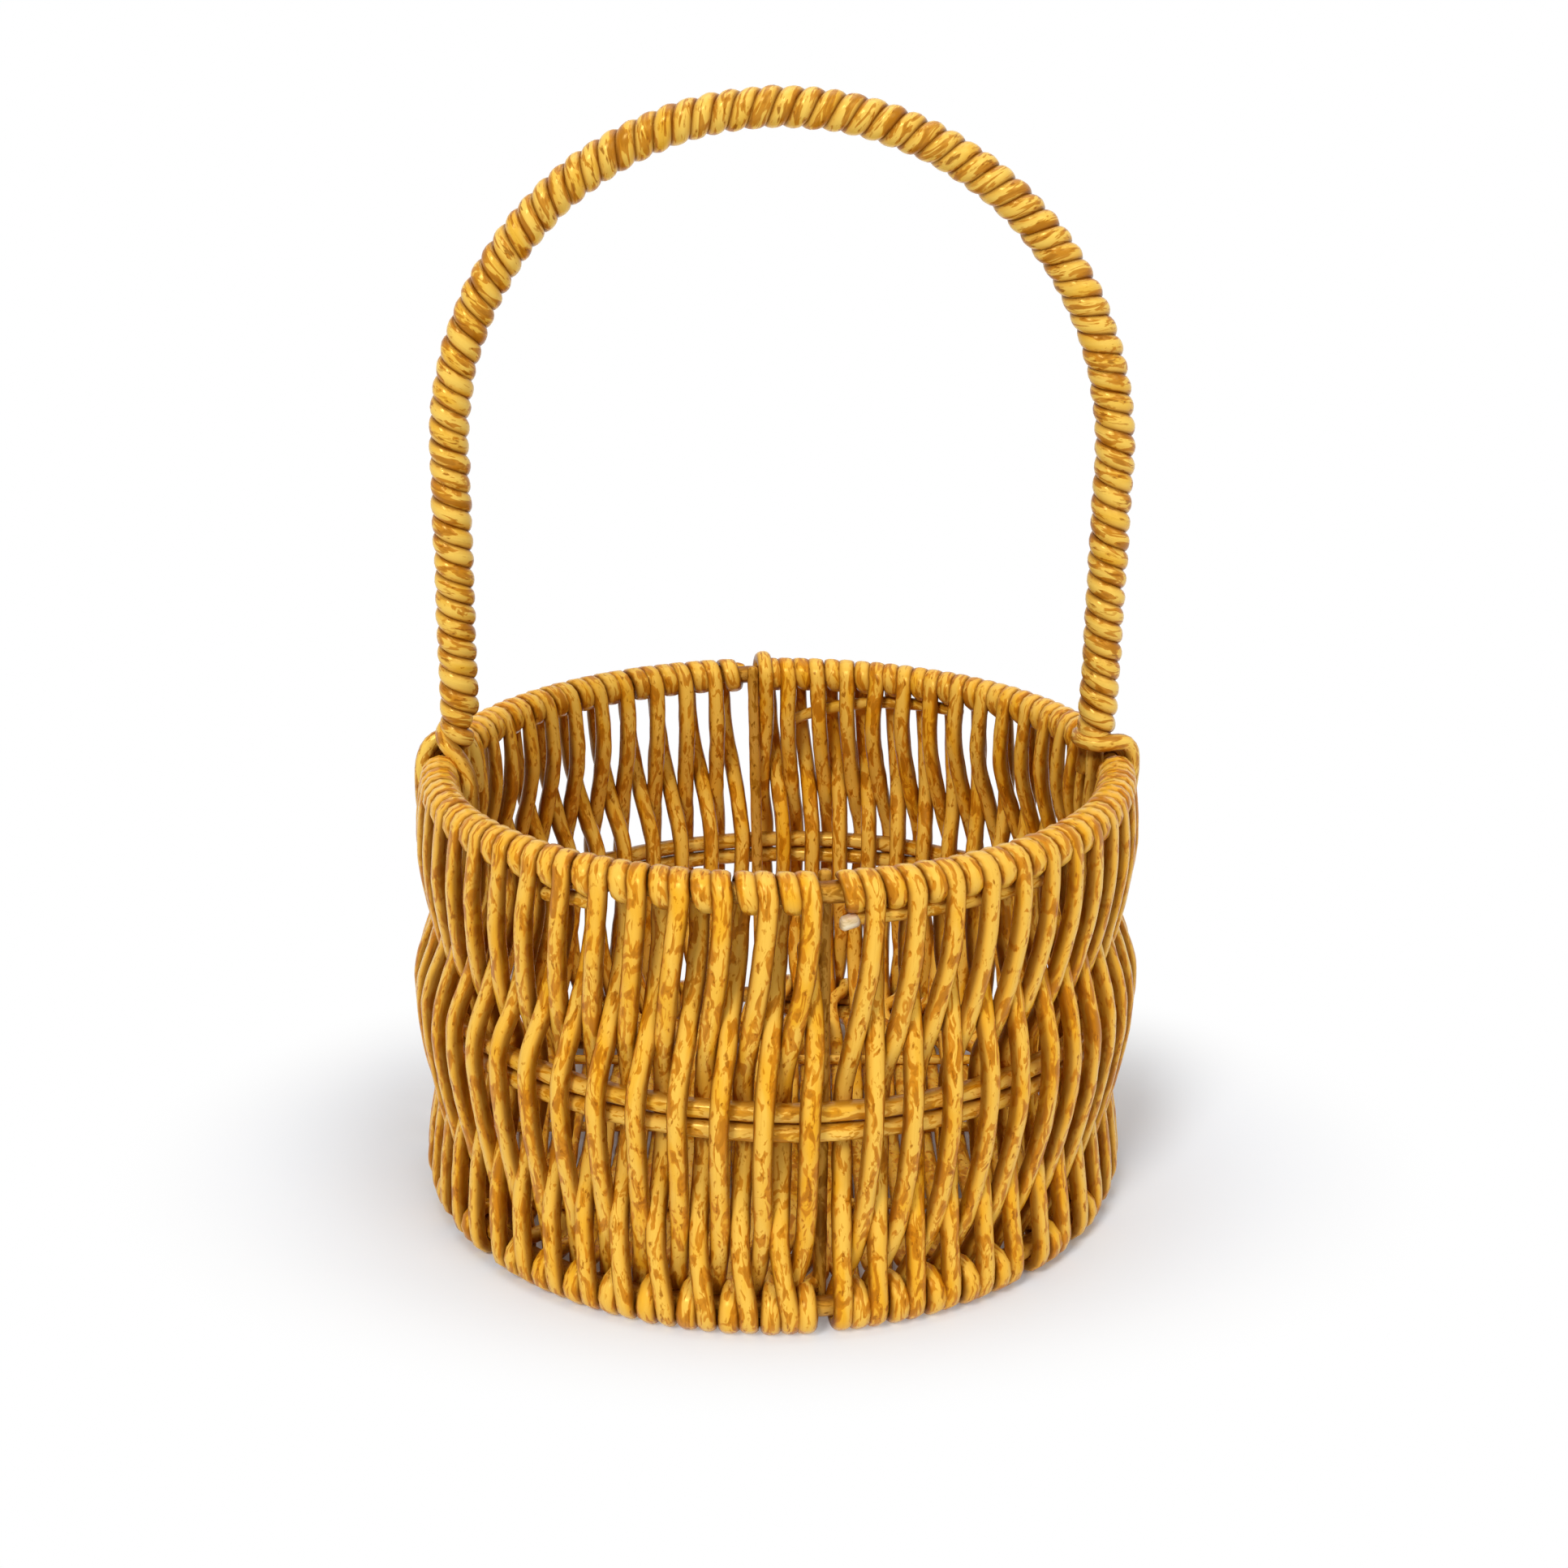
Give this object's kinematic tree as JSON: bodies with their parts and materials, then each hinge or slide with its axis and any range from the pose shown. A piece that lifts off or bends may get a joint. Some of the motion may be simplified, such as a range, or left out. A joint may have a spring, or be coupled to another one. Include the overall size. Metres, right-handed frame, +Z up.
{
  "type": "woven basket",
  "caption": "Small round basket woven from glossy cane-like plastic strand, with a tall wrapped hoop handle fixed across the rim.",
  "frame": {"origin": "on the surface that the basket stands on, under the middle of its outline", "axes": "+Z up along the handle's height, the handle arches over the X axis, -Y is the front of the picture"},
  "size_m": [0.2042, 0.2036, 0.3004],
  "materials": {
    "wall_cane": "pale straw-coloured strand with amber blotches and a soft gloss",
    "binding_cane": "golden flat strand, glossy, with brown creases",
    "weaver_cane": "amber round strand with a soft gloss",
    "hoop_cane": "darker brown round rod, half hidden by the strands round it"
  },
  "bodies": {
    "root": {"rim_hoop": "hoop_cane", "base_hoop": "hoop_cane", "mid_cane_upper": "weaver_cane", "mid_cane_lower": "weaver_cane", "wall_front_left_1": "wall_cane", "wall_front_left_2": "wall_cane", "wall_front_left_3": "wall_cane", "wall_front_left_4": "wall_cane", "wall_back_left_1": "wall_cane", "wall_back_left_2": "wall_cane", "wall_back_left_3": "wall_cane", "wall_back_left_4": "wall_cane", "wall_back_right_1": "wall_cane", "wall_back_right_2": "wall_cane", "wall_back_right_3": "wall_cane", "wall_back_right_4": "wall_cane", "wall_front_right_1": "wall_cane", "wall_front_right_2": "wall_cane", "wall_front_right_3": "wall_cane", "wall_front_right_4": "wall_cane", "front_upright": "hoop_cane", "back_upright": "hoop_cane", "handle_core": "hoop_cane", "handle_binding": "binding_cane", "left_lashing": "binding_cane", "right_lashing": "binding_cane", "front_right_tail": "weaver_cane", "front_left_tail": "weaver_cane", "back_tail": "weaver_cane", "floor_cane_1": "wall_cane", "floor_cane_2": "wall_cane", "floor_cane_3": "wall_cane", "floor_cane_4": "wall_cane", "floor_rib_front": "weaver_cane", "floor_rib_middle": "weaver_cane", "floor_rib_back": "weaver_cane"}
  },
  "joints": []
}
